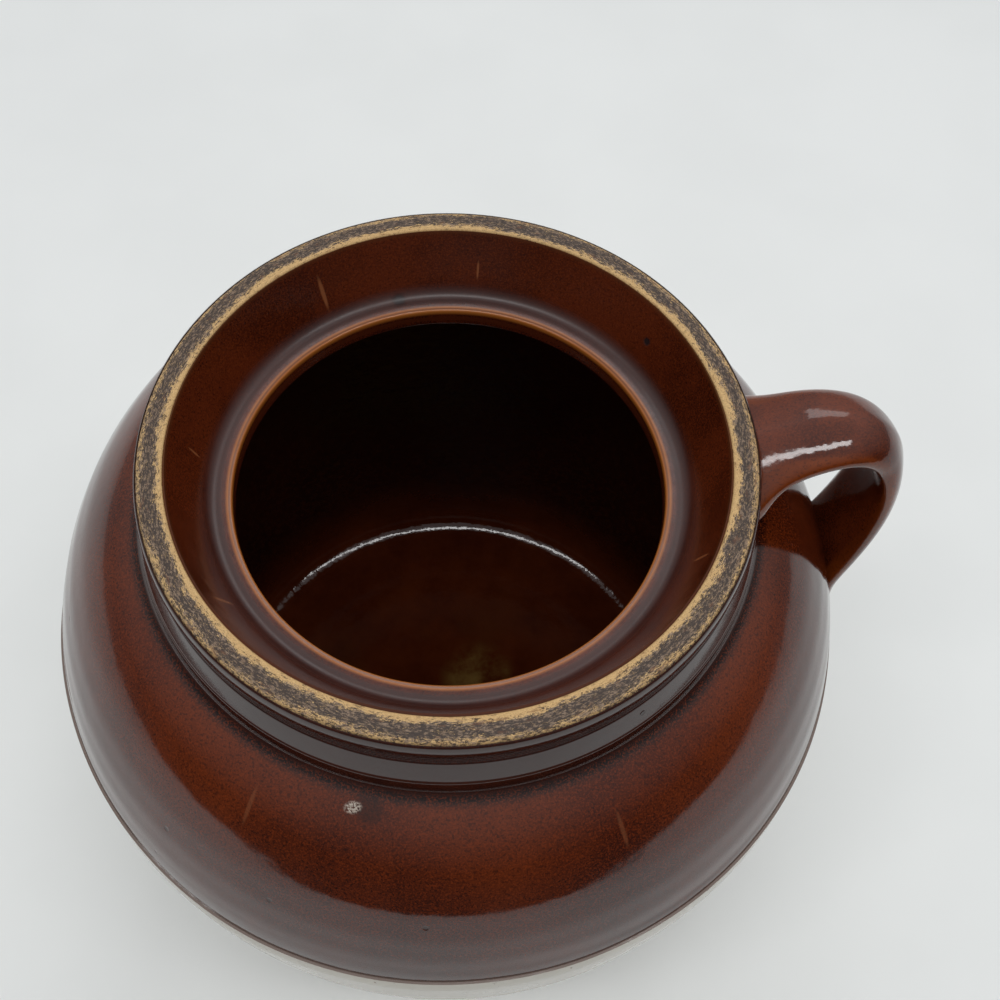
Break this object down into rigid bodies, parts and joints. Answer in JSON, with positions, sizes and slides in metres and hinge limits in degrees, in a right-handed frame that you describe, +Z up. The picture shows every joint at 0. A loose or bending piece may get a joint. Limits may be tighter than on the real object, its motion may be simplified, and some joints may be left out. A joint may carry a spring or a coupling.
{
  "type": "stoneware bean pot",
  "caption": "Two-tone glazed stoneware bean pot: brown top, cream lower half, grooved neck, recessed lid seat and one strap handle; no lid.",
  "frame": {"origin": "centre of the flat base, on the pot's axis, on the surface the pot stands on", "axes": "+Z up along the pot's axis, +X towards the strap handle (the strap itself is turned 3.5 degrees from +X towards +Y)"},
  "size_m": [0.2035, 0.1972, 0.1796],
  "materials": {
    "clay": "matte",
    "brown_glaze": "glossy",
    "inner_brown_glaze": "glossy",
    "cream_glaze": "glossy"
  },
  "bodies": {
    "root": {"lower_bowl": "clay", "shoulder_wall": "clay", "neck_collar": "clay", "seat_glaze": "inner_brown_glaze", "inner_glaze": "inner_brown_glaze", "outer_brown_glaze": "brown_glaze", "lower_cream_glaze": "cream_glaze", "handle_strap": "clay", "handle_glaze": "brown_glaze", "upper_handle_lute": "brown_glaze", "lower_handle_lute": "brown_glaze"}
  },
  "joints": []
}
